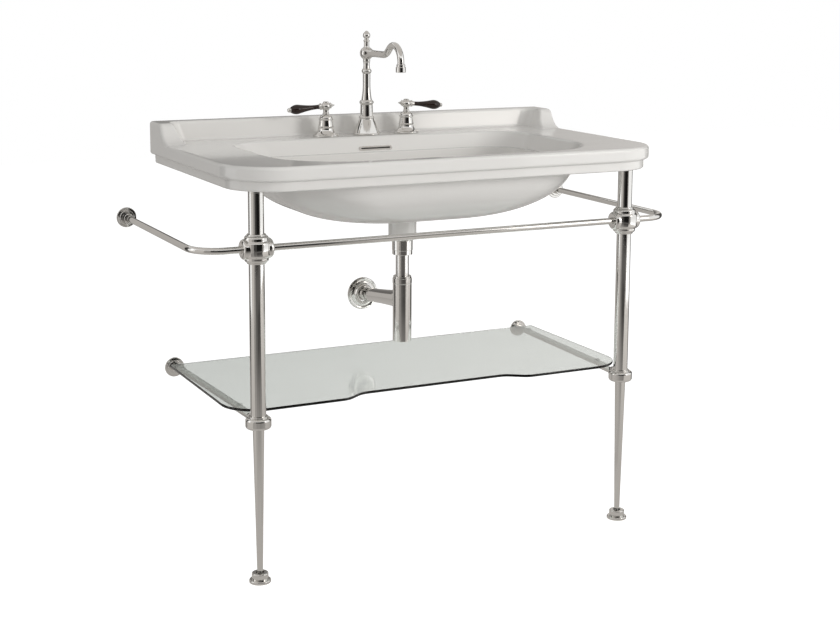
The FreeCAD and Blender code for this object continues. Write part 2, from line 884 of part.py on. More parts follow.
def lever_hub(side):
    """Ball on a stem, with the spindle below, the lever's socket and its pointed tail."""
    x = side * valve_x
    base = valve_top_z + slip
    end = lever_socket + lever_insert
    stem = turned([
        (0, base), (valve_neck_r, base), (valve_neck_r, base + 2), (hub_stem_r, base + 4),
        (hub_stem_r, hub_z - hub_r + 1), (hub_r, hub_z, 6.5, hub_top_z - 2.5),
        (6.5, hub_top_z - 1), (5.5, hub_top_z), (0, hub_top_z)], deck_point(x, 0))
    spindle = rod(deck_point(x, base - spindle_depth + 2), deck_point(x, base + 2), spindle_r)
    along = lever_direction(side)
    socket = turned([
        (0, 0), (6.2, 0), (6.2, 10.5), (7.6, 12), (7.6, 14), (5.6, 15.5), (5.6, lever_socket),
        (tang_r, lever_socket), (tang_r, end + tang_length / 2), (0, end + tang_length / 2),
    ], deck_point(x, hub_z), along)
    tail = turned([
        (0, 0), (5.8, 0), (5.8, 10), (7, 11.5), (4.2, 13.5), (1, lever_tail - 1),
        (0, lever_tail)], deck_point(x, hub_z), Vector(-along.x, 0, -along.z))
    return stem.fuse([spindle, socket, tail])


def lever_grip(side):
    """Glossy baluster grip of a lever, bored for the tang."""
    start = lever_socket
    end = lever_socket + lever_insert
    belly = end - 14
    profile = [
        (tang_r + seat, start), (lever_neck_r, start), (lever_neck_r + 0.4, start + 14),
        (7.4, start + 32, lever_insert_r - 0.3, belly - 6),
        (lever_insert_r, belly + 3, 6, end), (tang_r + seat, end)]
    return turned(profile, deck_point(side * valve_x, hub_z), lever_direction(side))


def lever_cap(side):
    """Small finial that holds the grip on its tang."""
    start = lever_socket + lever_insert
    end = start + lever_cap_length
    socket = start + tang_length / 2 + slip
    profile = [
        (tang_r + seat, start), (5.4, start), (5.8, start + 1.2), (4, start + 2.4),
        (5, start + 4.5, 3.6, end - 1), (2.4, end - 0.3, 1, end), (0, end), (0, socket),
        (tang_r + seat, socket)]
    return turned(profile, deck_point(side * valve_x, hub_z), lever_direction(side))


def spout_column():
    """Fixed column of the spout: flared base, rings, slender shaft and collar."""
    profile = [
        (0, 0), (spout_base_r - 1, 0), (spout_base_r - 0.3, 0.3, spout_base_r, 1),
        (spout_base_r, 2.5), (spout_base_r - 0.6, 4, spout_base_r - 1.6, 4.8),
        (24.6, 19, 17.2, 36.5), (16.9, 38), (18, 40, 16.9, 42), (15.2, 43.5),
        (14.6, 58, 14.2, 70), (15, 72), (16.7, 75.5, 15, 79), (12.4, 81),
        (9.8, 98, 8.8, 122), (8.9, 142), (10, 144), (11.5, 148, 10, 152), (8, 154),
        (7.2, 162, spout_neck_r, spout_column_z - 3), (spout_neck_r, spout_column_z),
        (0, spout_column_z)]
    body = turned(profile, deck_point(0, 0)).cut(tail_bore(0))
    spigot = rod(deck_point(0, spout_column_z - 1), deck_point(0, spout_column_z + spout_spigot),
                 spout_spigot_r)
    return body.fuse(spigot)


def spout_path():
    """Centre line of the swan neck: level run, trough, rise, crest and drop."""
    rise = math.radians(spout_rise_angle)
    end = tap_depth + spout_reach
    crest_corner_z = (spout_crest_z - spout_crest_r
                      + spout_crest_r * math.tan((math.pi / 2 + rise) / 2))
    trough_depth = end - (crest_corner_z - spout_ball_z) / math.tan(rise)
    bottom = aerator_bottom_z + aerator_height - spout_in_aerator
    points = [at(0, tap_depth + spout_ball_r / 2, deck_z + spout_ball_z),
              at(0, trough_depth, deck_z + spout_ball_z),
              at(0, end, deck_z + crest_corner_z),
              at(0, end, deck_z + bottom)]
    return polyline_with_bends(points, [0, spout_trough_r, spout_crest_r, 0], False)


def spout_arm():
    """Ball that turns on the column, with the swan neck and the neck for the finial."""
    base = spout_column_z + slip
    ball = turned([
        (0, base), (spout_neck_r, base), (spout_neck_r, spout_ball_z - spout_ball_r + 1.5),
        (spout_ball_r, spout_ball_z, 7, spout_ball_z + spout_ball_r - 2.5),
        (6.2, spout_ball_z + spout_ball_r), (6.2, finial_bottom_z), (0, finial_bottom_z),
    ], deck_point(0, 0))
    neck = swept(spout_path(), spout_r)
    flare_end = spout_ball_r / 2 + spout_flare
    flare = turned([
        (0, 0), (spout_flare_r, 0), (spout_flare_r, spout_ball_r - 2),
        (8.8, spout_ball_r + 12, spout_r, flare_end), (0, flare_end),
    ], deck_point(0, spout_ball_z), out_of_wall)
    bore = rod(deck_point(0, base - 1), deck_point(0, spout_column_z + spout_spigot + slip),
               spout_spigot_r + running)
    pin_hole = rod(deck_point(0, finial_bottom_z - finial_pin - slip),
                   deck_point(0, finial_bottom_z + 1), finial_pin_r + seat)
    return ball.fuse([neck, flare]).cut([bore, pin_hole])


def spout_finial():
    z = finial_bottom_z
    profile = [
        (0, z - finial_pin), (finial_pin_r, z - finial_pin), (finial_pin_r, z), (6.2, z),
        (7.4, z + 1.8, 6, z + 4), (4.4, z + 5.5), (4.6, z + 6.5), (5.4, z + 7.5),
        (8.5, z + 14, 5, z + 21.5), (2.8, z + 24, 0.8, z + 25), (0, z + 25)]
    return turned(profile, deck_point(0, 0))


def aerator():
    place = at(0, tap_depth + spout_reach, deck_z + aerator_bottom_z)
    waist = aerator_height - spout_in_aerator
    body = turned(tiers([
        (aerator_r, 0, waist), (aerator_r - 1.4, waist, aerator_height)], 1.2), place)
    socket = rod(place + up * waist, place + up * (aerator_height + 1), spout_r + seat)
    mouth = rod(place - up, place + up * aerator_mouth, aerator_r - 2)
    return body.cut([socket, mouth])


# ---- waste and trap

def drain_axis(z):
    return at(0, drain_depth, z)


def waste_body():
    """Flanged waste tube with overflow slots and the bridge that guides the plug."""
    seat_z = bowl_floor_z - drain_seat_drop
    tube = rod(drain_axis(waste_bottom_z), drain_axis(seat_z + 1), waste_r)
    flange = turned(tiers([(flange_r, 0, flange_thickness)], 1), drain_axis(seat_z))
    bore = rod(drain_axis(waste_bottom_z - 1), drain_axis(bowl_floor_z), waste_bore_r)
    shell = tube.fuse(flange).cut(bore)
    slot_z = bowl_floor_z - bowl_wall - 16
    low = drain_axis(slot_z) - Vector(waste_slot_width / 2, waste_r + 1, 0)
    shell = shell.cut(box_between(low, low + Vector(
        waste_slot_width, 2 * waste_r + 2, waste_slot_height)))
    bridge = rod(drain_axis(bridge_z), drain_axis(bridge_z + bridge_height), bridge_hub_r)
    for angle in (0, 120, 240):
        rib = Part.makeBox(waste_bore_r + 1, bridge_rib, bridge_height,
                           Vector(0, -bridge_rib / 2, 0))
        rib.Placement = FreeCAD.Placement(drain_axis(bridge_z), FreeCAD.Rotation(up, angle))
        bridge = bridge.fuse(rib)
    guide = rod(drain_axis(bridge_z - 1), drain_axis(bridge_z + bridge_height + 1),
                plug_stem_r + running)
    return shell.fuse(bridge).cut(guide)


def waste_plug():
    """Domed plug on a stem that slides in the waste's bridge."""
    base = bowl_floor_z - drain_seat_drop + flange_thickness + slip
    stem_bottom = bridge_z - plug_travel - 5
    profile = [
        (0, stem_bottom), (plug_stem_r, stem_bottom), (plug_stem_r, base), (plug_r - 1, base),
        (plug_r - 0.3, base + 0.3, plug_r, base + 1), (plug_r, base + plug_thickness - 1),
        (plug_r * 0.72, base + plug_thickness + plug_crown * 0.55,
         1, base + plug_thickness + plug_crown),
        (0, base + plug_thickness + plug_crown)]
    return turned(profile, drain_axis(0))


def ring_piece(outer_r, inner_r, low_z, high_z, rounding):
    ring = turned(tiers([(outer_r, low_z, high_z)], rounding), drain_axis(0))
    return ring.cut(rod(drain_axis(low_z - 1), drain_axis(high_z + 1), inner_r))


def waste_seal():
    low_z = drain_boss_bottom_z - seal_thickness
    return ring_piece(seal_r, waste_r + seat, low_z, drain_boss_bottom_z, 0.5)


def waste_backnut():
    high_z = drain_boss_bottom_z - seal_thickness
    return ring_piece(backnut_r, waste_r + seat, high_z - backnut_height, high_z, 1)


def trap_nut():
    """Union nut that clamps the trap's inlet tube to the waste."""
    ring_z = trap_nut_bottom_z + trap_nut_ring
    body = turned(tiers([
        (trap_nut_r - 0.8, trap_nut_bottom_z, ring_z), (trap_nut_r, ring_z, trap_nut_top_z)],
        0.8), drain_axis(0))
    return body.cut([
        rod(drain_axis(waste_bottom_z - slip), drain_axis(trap_nut_top_z + 1), waste_r + seat),
        rod(drain_axis(trap_nut_bottom_z - 1), drain_axis(trap_nut_top_z), trap_tube_r + seat)])


def trap_inlet_tube():
    return pipe(drain_axis(trap_tube_bottom_z), drain_axis(trap_tube_top_z),
                trap_tube_r, trap_tube_wall)


def bottle_top():
    return trap_cap_top_z - trap_cap_height


def trap_cap():
    """Threaded cap that closes the bottle round its inlet tube."""
    body = turned(tiers([
        (bottle_r + 0.5, bottle_top(), trap_cap_top_z - 5),
        (bottle_r - 1, trap_cap_top_z - 5, trap_cap_top_z)], 1), drain_axis(0))
    return body.cut(rod(drain_axis(bottle_top() - 1), drain_axis(trap_cap_top_z + 1),
                        trap_tube_r + seat))


def outlet_points():
    start = drain_axis(outlet_z)
    wall = at(outlet_shift, 0, outlet_z - outlet_drop)
    return start, wall, unit(wall - start)


def trap_bottle():
    body = turned(tiers([(bottle_r, bottle_bottom_z, bottle_top())], 2), drain_axis(0))
    body = body.cut(rod(drain_axis(bottle_bottom_z + 2 * bottle_wall), drain_axis(bottle_top() + 1),
                        bottle_r - bottle_wall))
    start, wall, direction = outlet_points()
    return body.cut(rod(start, start + direction * (2 * bottle_r), outlet_hole_r))


def trap_outlet():
    """Outlet pipe, flared on to the bottle's side, that falls towards the wall and enters it."""
    start, wall, direction = outlet_points()
    rake = math.hypot(direction.x, direction.z)
    to_wall = (wall - start).Length
    length = to_wall + (outlet_past_wall - outlet_r * rake) / abs(direction.y)
    shapes = []
    for inset in (0, outlet_wall):
        flare_r = outlet_flare_r - inset
        waist_r = outlet_waist_r - inset
        r = outlet_r - inset
        first = bottle_r / 3
        middle = (outlet_flare_from + outlet_flare_to) / 2
        shapes.append(turned([
            (0, first), (flare_r, first), (flare_r, outlet_flare_from),
            ((flare_r + waist_r) / 2 - 0.6, middle, waist_r, outlet_flare_to),
            (r, to_wall), (r, length), (0, length)], start, direction))
    body = shapes[0].cut(shapes[1])
    return body.cut(rod(drain_axis(bottle_bottom_z), drain_axis(trap_cap_top_z), bottle_r))


def trap_rose():
    """Dished rose where the outlet enters the wall."""
    start, wall, direction = outlet_points()
    lean = math.hypot(direction.x, direction.z) / abs(direction.y)
    middle = wall - direction * (trap_rose_depth / 2)
    bore_r = outlet_r + lean * trap_rose_depth / 2 + 2 * slip
    t = trap_rose_sheet
    centre = Vector(middle.x, wall_y, middle.z)
    profile = [
        (trap_rose_r - t, 0), (trap_rose_r, 0), (trap_rose_r, t), (trap_rose_r - 1, t + 1),
        (trap_rose_r - 4, t + 1.5), (bore_r + t + 3.5, 5.5, bore_r + t, trap_rose_depth),
        (bore_r, trap_rose_depth), (bore_r + 2.5, 3.5, trap_rose_r - 5, t / 2)]
    return turned(profile, centre, out_of_wall)


# ---- all pieces, one file each

def pieces():
    nodes = {
        "basin": basin(), "overflow_trim": overflow_trim(),
        "leg_pads": leg_pads(), "towel_rail_front": towel_rail_front(),
        "shelf_pads": shelf_pads(), "glass_shelf": glass_shelf(),
        "spout_column": spout_column(), "spout_arm": spout_arm(),
        "spout_finial": spout_finial(), "aerator": aerator(), "spout_tail": tap_tail(0),
        "tap_washers": tap_washers(), "tap_backnuts": tap_backnuts(),
        "waste_body": waste_body(), "waste_plug": waste_plug(), "waste_seal": waste_seal(),
        "waste_backnut": waste_backnut(), "trap_nut": trap_nut(),
        "trap_inlet_tube": trap_inlet_tube(), "trap_cap": trap_cap(),
        "trap_bottle": trap_bottle(), "trap_outlet": trap_outlet(), "trap_rose": trap_rose(),
    }
    paired = {
        "upper_leg_tube": upper_leg_tube, "middle_leg_tube": middle_leg_tube,
        "leg_head": leg_head, "rail_joint": rail_joint, "towel_rail": towel_rail,
        "rail_rose": rail_rose, "shelf_collar": shelf_collar, "shelf_arm": shelf_arm,
        "shelf_rose": shelf_rose, "lower_leg": lower_leg, "foot_stud": foot_stud, "foot": foot,
    }
    for name, make in paired.items():
        for label, side in (("left", -1), ("right", 1)):
            nodes[name + "_" + label] = make(side)
    for label, side in (("hot", -1), ("cold", 1)):
        nodes[label + "_valve_body"] = valve_body(side * valve_x)
        nodes[label + "_valve_tail"] = tap_tail(side * valve_x)
        nodes[label + "_lever_hub"] = lever_hub(side)
        nodes[label + "_lever_grip"] = lever_grip(side)
        nodes[label + "_lever_cap"] = lever_cap(side)
    return nodes


def main():
    os.makedirs("parts", exist_ok=True)
    for name, shape in pieces().items():
        solids = len(shape.Solids)
        state = "ok" if shape.isValid() and solids else "BAD"
        print(f"{name}: {solids} solid(s), {shape.Volume / 1000:.1f} cm3, {state}")
        shape.exportStep("parts/" + name + ".step")


main()
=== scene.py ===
import math
import bmesh
import bpy
from mathutils import Matrix, Vector


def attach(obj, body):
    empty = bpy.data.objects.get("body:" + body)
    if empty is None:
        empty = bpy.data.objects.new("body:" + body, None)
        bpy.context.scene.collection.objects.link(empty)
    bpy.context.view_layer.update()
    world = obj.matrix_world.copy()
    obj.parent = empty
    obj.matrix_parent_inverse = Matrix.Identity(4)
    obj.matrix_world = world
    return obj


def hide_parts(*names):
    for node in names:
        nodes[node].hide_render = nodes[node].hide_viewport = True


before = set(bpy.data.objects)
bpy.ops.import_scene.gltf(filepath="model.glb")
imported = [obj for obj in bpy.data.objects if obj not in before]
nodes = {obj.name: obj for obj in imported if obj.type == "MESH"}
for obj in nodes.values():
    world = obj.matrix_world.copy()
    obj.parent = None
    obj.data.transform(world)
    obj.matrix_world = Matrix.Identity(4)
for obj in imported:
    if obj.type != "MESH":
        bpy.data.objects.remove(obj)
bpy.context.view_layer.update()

scene = bpy.context.scene
print("console loaded,", len(nodes), "parts")


# small helpers for node trees and meshes

def newMaterial(name):
    material = bpy.data.materials.new(name)
    material.use_nodes = True
    tree = material.node_tree
    tree.nodes.clear()
    output = tree.nodes.new("ShaderNodeOutputMaterial")
    shader = tree.nodes.new("ShaderNodeBsdfPrincipled")
    tree.links.new(shader.outputs["BSDF"], output.inputs["Surface"])
    return material, tree, shader


def addNode(tree, kind, **settings):
    node = tree.nodes.new(kind)
    for key, value in settings.items():
        setattr(node, key, value)
    return node


def newGroup(name, inputs, outputs):
    group = bpy.data.node_groups.new(name, "ShaderNodeTree")
    for label, kind, value in inputs:
        socket = group.interface.new_socket(label, in_out="INPUT", socket_type=kind)
        socket.default_value = value
    for label, kind in outputs:
        group.interface.new_socket(label, in_out="OUTPUT", socket_type=kind)
    return group, addNode(group, "NodeGroupInput"), addNode(group, "NodeGroupOutput")


def placeGroup(tree, group, **values):
    node = addNode(tree, "ShaderNodeGroup", node_tree=group)
    for label, value in values.items():
        node.inputs[label].default_value = value
    return node


def placeMesh(name, mesh):
    data = bpy.data.meshes.new(name)
    mesh.to_mesh(data)
    mesh.free()
    item = bpy.data.objects.new(name, data)
    scene.collection.objects.link(item)
    return item


# effects that several finishes share

effectLook = {
    "smudgeDetail": 6.0, "smudgeFrom": 0.35, "smudgeTo": 0.7, "mottleDetail": 3.0,
    "bandLength": 0.314,  # metres from one band of the wave texture to the next at scale 1
}


def smudgeGroup(look):
    group, source, target = newGroup(
        "smudges",
        [("Scale", "NodeSocketFloat", 20.0), ("Low", "NodeSocketFloat", 0.05),
         ("High", "NodeSocketFloat", 0.12)],
        [("Roughness", "NodeSocketFloat"), ("Height", "NodeSocketFloat")])
    coords = addNode(group, "ShaderNodeTexCoord")
    noise = addNode(group, "ShaderNodeTexNoise")
    noise.inputs["Detail"].default_value = look["smudgeDetail"]
    spread = addNode(group, "ShaderNodeMapRange")
    spread.inputs["From Min"].default_value = look["smudgeFrom"]
    spread.inputs["From Max"].default_value = look["smudgeTo"]
    link = group.links.new
    link(coords.outputs["Object"], noise.inputs["Vector"])
    link(source.outputs["Scale"], noise.inputs["Scale"])
    link(noise.outputs["Fac"], spread.inputs["Value"])
    link(source.outputs["Low"], spread.inputs["To Min"])
    link(source.outputs["High"], spread.inputs["To Max"])
    link(spread.outputs["Result"], target.inputs["Roughness"])
    link(noise.outputs["Fac"], target.inputs["Height"])
    return group


def mottleGroup(look):
    group, source, target = newGroup(
        "mottle",
        [("Scale", "NodeSocketFloat", 6.0), ("First", "NodeSocketColor", (1, 1, 1, 1)),
         ("Second", "NodeSocketColor", (1, 1, 1, 1))],
        [("Color", "NodeSocketColor")])
    coords = addNode(group, "ShaderNodeTexCoord")
    noise = addNode(group, "ShaderNodeTexNoise")
    noise.inputs["Detail"].default_value = look["mottleDetail"]
    mix = addNode(group, "ShaderNodeMix", data_type="RGBA")
    link = group.links.new
    link(coords.outputs["Object"], noise.inputs["Vector"])
    link(source.outputs["Scale"], noise.inputs["Scale"])
    link(noise.outputs["Fac"], mix.inputs["Factor"])
    link(source.outputs["First"], mix.inputs[6])  # the colour sockets of the mix
    link(source.outputs["Second"], mix.inputs[7])
    link(mix.outputs[2], target.inputs["Color"])
    return group


def threadGroup(look):
    group, source, target = newGroup(
        "thread",
        [("Pitch", "NodeSocketFloat", 0.0018)],
        [("Height", "NodeSocketFloat")])
    coords = addNode(group, "ShaderNodeTexCoord")
    rate = addNode(group, "ShaderNodeMath", operation="DIVIDE")
    rate.inputs[0].default_value = look["bandLength"]
    wave = addNode(group, "ShaderNodeTexWave", wave_type="BANDS", bands_direction="Z")
    link = group.links.new
    link(source.outputs["Pitch"], rate.inputs[1])
    link(rate.outputs[0], wave.inputs["Scale"])
    link(coords.outputs["Object"], wave.inputs["Vector"])
    link(wave.outputs["Fac"], target.inputs["Height"])
    return group


smudges = smudgeGroup(effectLook)
mottle = mottleGroup(effectLook)
thread = threadGroup(effectLook)


# finishes: two mottled colours, a roughness smudged from low to high, and waves or a thread as bump

brass = {
    "first": (0.74, 0.58, 0.30, 1), "second": (0.62, 0.46, 0.21, 1), "mottleScale": 40.0,
    "smudgeScale": 60.0, "low": 0.22, "high": 0.40, "sockets": {"Metallic": 1.0},
}
finishLooks = {  # bump depth, softened edge and pitch in metres
    "polished_chrome": {
        "first": (0.80, 0.79, 0.77, 1), "second": (0.74, 0.73, 0.705, 1), "mottleScale": 14.0,
        "smudgeScale": 30.0, "low": 0.045, "high": 0.12, "bump": 0.05, "bumpDepth": 0.0004, "edge": 0.0006,
        "sockets": {"Metallic": 1.0}},
    "turned_brass": {**brass, "bump": 0.1, "bumpDepth": 0.0003, "edge": 0.0004},
    "threaded_brass": {**brass, "bump": 0.5, "bumpDepth": 0.0006, "pitch": 0.0018},
    "threaded_steel": {
        "first": (0.60, 0.60, 0.58, 1), "second": (0.48, 0.48, 0.47, 1), "mottleScale": 50.0,
        "smudgeScale": 70.0, "low": 0.28, "high": 0.45, "bump": 0.5, "bumpDepth": 0.0006, "pitch": 0.0015,
        "sockets": {"Metallic": 1.0}},
    "black_enamel": {
        "first": (0.004, 0.003, 0.003, 1), "second": (0.030, 0.015, 0.010, 1), "mottleScale": 90.0,
        "smudgeScale": 40.0, "low": 0.05, "high": 0.12, "bump": 0.06, "bumpDepth": 0.0004},
    "washer_rubber": {
        "first": (0.030, 0.030, 0.031, 1), "second": (0.050, 0.049, 0.048, 1), "mottleScale": 80.0,
        "smudgeScale": 120.0, "low": 0.55, "high": 0.75, "bump": 0.3, "bumpDepth": 0.0003},
    "clear_pad_vinyl": {
        "first": (0.92, 0.93, 0.91, 1), "second": (0.86, 0.88, 0.86, 1), "mottleScale": 70.0,
        "smudgeScale": 90.0, "low": 0.25, "high": 0.4, "bump": 0.1, "bumpDepth": 0.0002,
        "sockets": {"Alpha": 0.25}},
    "fired_glaze": {
        "first": (0.80, 0.785, 0.755, 1), "second": (0.775, 0.758, 0.728, 1), "mottleScale": 5.0,
        "smudgeScale": 9.0, "low": 0.10, "high": 0.17, "bump": 0.12, "bumpDepth": 0.0012, "edge": 0.003,
        "sockets": {"IOR": 1.5, "Coat Weight": 0.3, "Coat Roughness": 0.04}},
}


def addBump(tree, shader, height, look):
    bump = addNode(tree, "ShaderNodeBump")
    bump.inputs["Strength"].default_value = look["bump"]
    bump.inputs["Distance"].default_value = look["bumpDepth"]
    tree.links.new(height, bump.inputs["Height"])
    tree.links.new(bump.outputs["Normal"], shader.inputs["Normal"])
    if "edge" in look:
        bevel = addNode(tree, "ShaderNodeBevel", samples=4)
        bevel.inputs["Radius"].default_value = look["edge"]
        tree.links.new(bevel.outputs["Normal"], bump.inputs["Normal"])


def makeFinish(name, look):
    material, tree, shader = newMaterial(name)
    colour = placeGroup(tree, mottle, Scale=look["mottleScale"], First=look["first"], Second=look["second"])
    marks = placeGroup(tree, smudges, Scale=look["smudgeScale"], Low=look["low"], High=look["high"])
    tree.links.new(colour.outputs["Color"], shader.inputs["Base Color"])
    tree.links.new(marks.outputs["Roughness"], shader.inputs["Roughness"])
    for label, value in look.get("sockets", {}).items():
        shader.inputs[label].default_value = value
    if "pitch" in look:
        turns = placeGroup(tree, thread, Pitch=look["pitch"])
        addBump(tree, shader, turns.outputs["Height"], look)
    elif "bump" in look:
        addBump(tree, shader, marks.outputs["Height"], look)
    return material


finishes = {name: makeFinish(name, look) for name, look in finishLooks.items()}
print("finishes made:", len(finishes))


# what each part is finished in; the rest is polished chrome

finishOf = {
    "basin": "fired_glaze",
    "spout_tail": "threaded_brass", "hot_valve_tail": "threaded_brass", "cold_valve_tail": "threaded_brass",
    "tap_backnuts": "turned_brass",
    "foot_stud_left": "threaded_steel", "foot_stud_right": "threaded_steel",
    "leg_pads": "washer_rubber", "tap_washers": "washer_rubber", "waste_seal": "washer_rubber",
    "shelf_pads": "clear_pad_vinyl",
    "hot_lever_grip": "black_enamel", "cold_lever_grip": "black_enamel",
}


def dress(part, material):
    part.data.materials.clear()
    part.data.materials.append(material)


for name, part in nodes.items():
    dress(part, finishes[finishOf.get(name, "polished_chrome")])
print("parts dressed:", len(nodes))


# the glass shelf, with ground edges that look dark green from the side

shelfGlass = {
    "tint": (0.632, 0.655, 0.628, 1), "smudgeScale": 6.0, "low": 0.02, "high": 0.07, "ior": 1.5,
    "edge": {
        "first": (0.10, 0.40, 0.31, 1), "second": (0.02, 0.13, 0.09, 1), "mottleScale": 45.0,
        "smudgeScale": 45.0, "low": 0.05, "high": 0.16,
        "sockets": {"Coat Weight": 0.5, "Coat Roughness": 0.03}},
    "weld": 1e-5, "flat": 0.5, "corner": 60, "level": 0.9,  # metres, two angles, upright share of a level face
    "arris": 0.0009, "arrisSteps": 2,
}


def glassFaceMaterial(look):
    material, tree, shader = newMaterial("shelf_glass_face")
    marks = placeGroup(tree, smudges, Scale=look["smudgeScale"], Low=look["low"], High=look["high"])
    tree.links.new(marks.outputs["Roughness"], shader.inputs["Roughness"])
    shader.inputs["Base Color"].default_value = look["tint"]
    shader.inputs["IOR"].default_value = look["ior"]
    shader.inputs["Transmission Weight"].default_value = 1.0
    return material


def makeShelf(look):
    source = nodes["glass_shelf"]
    shelf = bpy.data.objects.new("shelf_pane", source.data.copy())
    scene.collection.objects.link(shelf)
    mesh = bmesh.new()
    mesh.from_mesh(shelf.data)
    bmesh.ops.remove_doubles(mesh, verts=mesh.verts, dist=look["weld"])
    bmesh.ops.dissolve_limit(mesh, angle_limit=math.radians(look["flat"]), verts=mesh.verts,
                             edges=mesh.edges)
    mesh.normal_update()
    arris = [edge for edge in mesh.edges
             if len(edge.link_faces) == 2 and edge.calc_face_angle(0) > math.radians(look["corner"])
             and any(abs(face.normal.z) > look["level"] for face in edge.link_faces)]
    bmesh.ops.bevel(mesh, geom=arris, offset=look["arris"], segments=look["arrisSteps"], profile=0.5,
                    affect="EDGES")
    mesh.normal_update()
    for face in mesh.faces:
        level = abs(face.normal.z) > look["level"]
        face.smooth = not level
        face.material_index = 0 if level else 1
    mesh.to_mesh(shelf.data)
    mesh.free()
    shelf.data.materials.clear()
    shelf.data.materials.append(glassFaceMaterial(look))
    shelf.data.materials.append(makeFinish("shelf_glass_edge", look["edge"]))
    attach(shelf, "console")
    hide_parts("glass_shelf")


makeShelf(shelfGlass)
print("glass shelf made")


# rail fittings: a rounded drum on the leg with a bead above and below, and a bullnosed boss for each rail

fittingLook = {  # radius and distance from the middle in mm; the drum's other half mirrors this one
    "drum": ((28.5, 11.2), (28.0, 13.2), (26.8, 15.0), (25.2, 16.2), (24.7, 17.2), (24.9, 19.6), (24.7, 22.0),
             (23.8, 24.2), (22.2, 25.8), (20.5, 26.5), (19.9, 27.2), (19.7, 28.6), (18.8, 29.7), (17.6, 30.0),
             (16.2, 30.0)),
    "boss": ((7.2, 17.5), (7.2, 31.6), (7.8, 32.2), (15.0, 32.2), (17.6, 31.5), (19.4, 29.8), (20.4, 27.6),
             (20.6, 25.2), (20.6, 17.5)),
    "steps": 72, "sharp": 32.0, "millimetre": 0.001,
}


def latheInto(mesh, profile, steps, place):
    turns = [math.tau * step / steps for step in range(steps)]
    rings = [[mesh.verts.new(place @ Vector((radius * math.cos(turn), radius * math.sin(turn), height)))
              for turn in turns] for radius, height in profile]
    for index, ring in enumerate(rings):
        after = rings[(index + 1) % len(rings)]
        for step in range(steps):
            ahead = (step + 1) % steps
            mesh.faces.new((ring[step], ring[ahead], after[ahead], after[step]))


def makeFitting(side, look):
    source = nodes["rail_joint_" + side]
    corners = [source.matrix_world @ Vector(corner) for corner in source.bound_box]
    middle = sum(corners, Vector()) / len(corners)
    place = Matrix.Translation(middle) @ Matrix.Scale(look["millimetre"], 4)
    lowerHalf = [(radius, -height) for radius, height in reversed(look["drum"])]
    mesh = bmesh.new()
    latheInto(mesh, (*lowerHalf, *look["drum"]), look["steps"], place)
    for turn in (90, -90):
        latheInto(mesh, look["boss"], look["steps"], place @ Matrix.Rotation(math.radians(turn), 4, "Y"))
    bmesh.ops.recalc_face_normals(mesh, faces=mesh.faces)
    for face in mesh.faces:
        face.smooth = True
    for edge in mesh.edges:
        edge.smooth = edge.calc_face_angle(0) < math.radians(look["sharp"])
    fitting = placeMesh("rail_fitting_" + side, mesh)
    fitting.data.materials.append(finishes["polished_chrome"])
    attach(fitting, "console")
    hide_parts("rail_joint_" + side)


for side in ("left", "right"):
    makeFitting(side, fittingLook)
print("rail fittings made")


# studio: white floor and surround, with screens that only gloss mirrors

view = {
    "place": (-1.4768, -3.0464, 1.2287), "yaw": 26.323, "pitch": -8.822, "roll": 0.276,
    "sensor": 36, "lens": 65.54, "shiftX": 0.0055, "shiftY": -0.12,
}
studio = {
    "floorSize": 14.0, "floorTone": 0.62, "floorRoughness": 0.9, "floorLift": 0.80, "fill": 0.50,
    "screenWarmth": (1.0, 0.955, 0.91), "screenSteps": 12, "wallRadius": 2.9,
    "rugFade": (0.8, 2.3), "wallFade": (0.5, 2.1),  # metres from the middle and along X, where a tone changes
}
standingScreens = {  # turn from the camera's side in degrees, foot and top in metres, tone left and right
    "camera_left": (-64, -36, 0.0, 2.2, 0.62, 0.62),
    "camera_left_grey": (-36, -18, 0.0, 2.2, 0.36, 0.36),
    "camera_brown": (-18, 2, 0.17, 2.2, 0.06, 0.06),
    "camera_dark": (2, 43, 0.17, 2.2, 0.010, 0.010),
    "camera_skirt": (-18, 43, 0.0, 0.17, 0.13, 0.13),
    "camera_right": (43, 56, 0.0, 2.2, 0.30, 0.30),
    "edge_left": (-112, -92, 0.0, 2.6, 0.05, 0.05),
    "side_left": (-150, -112, 0.0, 2.6, 0.50, 0.50),
    "edge_right": (118, 148, 0.0, 2.6, 0.09, 0.09),
    "back": (148, 210, 0.0, 2.6, 0.16, 0.60),
    "soft_box": (58, 70, 1.0, 2.2, 3.2, 3.2),
    "soft_strip": (-78, -74, 0.6, 2.2, 2.2, 2.2),
}
flatScreens = {  # turn, inner and outer radius, height, tone near and far
    "rug_left": (-88, -40, 0.01, 2.9, 0.002, 0.52, 0.62),
    "rug_grey": (-40, -18, 0.01, 2.9, 0.002, 0.50, 0.30),
    "rug_brown": (-18, 2, 0.01, 2.9, 0.002, 0.50, 0.15),
    "rug_dark": (2, 43, 0.01, 2.9, 0.002, 0.46, 0.07),
    "rug_right": (43, 112, 0.01, 2.9, 0.002, 0.52, 0.72),
    "rug_edge": (112, 150, 0.01, 2.9, 0.002, 0.40, 0.10),
    "rug_back": (150, 248, 0.01, 2.9, 0.002, 0.50, 0.42),
    "rug_edge_left": (248, 272, 0.01, 2.9, 0.002, 0.40, 0.06),
    "ceiling": (-180, 180, 0.01, 3.2, 3.1, 0.60, 0.60),
}
lamps = {
    "front_right": {"place": (2.6, -2.9, 1.75), "aim": (0, 0, 0.75), "size": 1.3, "power": 70},
    "front_fill": {"place": (-2.4, -3.6, 1.0), "aim": (0, 0, 0.7), "size": 3.0, "power": 36},
}


